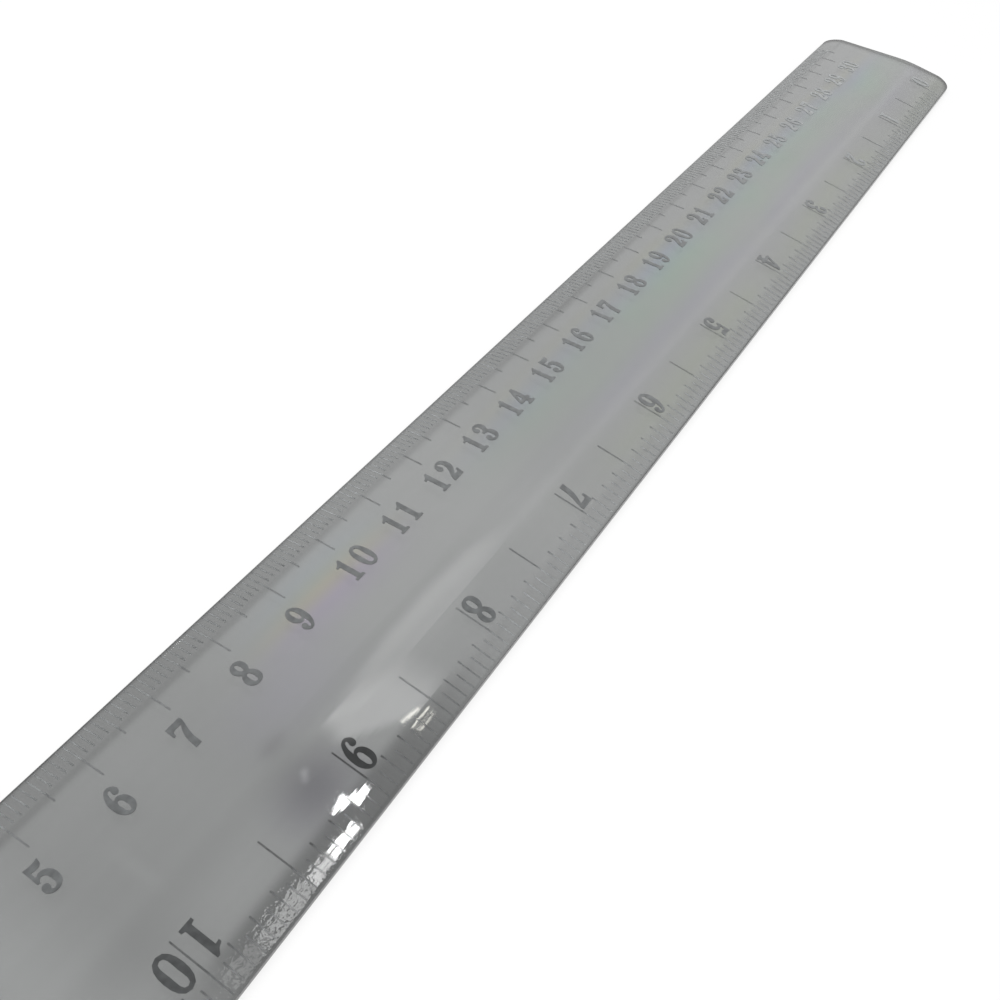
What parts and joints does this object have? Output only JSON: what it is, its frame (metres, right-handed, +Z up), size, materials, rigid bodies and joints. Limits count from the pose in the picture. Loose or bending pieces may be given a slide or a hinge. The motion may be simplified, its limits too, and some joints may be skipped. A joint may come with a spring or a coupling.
{
  "type": "straight ruler",
  "caption": "Clear plastic straight ruler with bevelled edges, a shallow ridge, a centimetre scale on one edge and an inch scale on the other.",
  "frame": {"origin": "centre of the flat underside", "axes": "+X along the blade, the way the centimetre scale counts; +Y towards the centimetre edge; +Z up out of the marked face"},
  "size_m": [0.325, 0.033, 0.0026],
  "materials": {
    "clear_plastic": "gloss",
    "scale_foil": "matte"
  },
  "bodies": {
    "root": {"blade": "clear_plastic", "centimetre_marks": "scale_foil", "half_centimetre_marks": "scale_foil", "millimetre_marks": "scale_foil", "inch_marks": "scale_foil", "half_inch_marks": "scale_foil", "eighth_inch_marks": "scale_foil", "sixteenth_inch_marks": "scale_foil"}
  },
  "joints": []
}
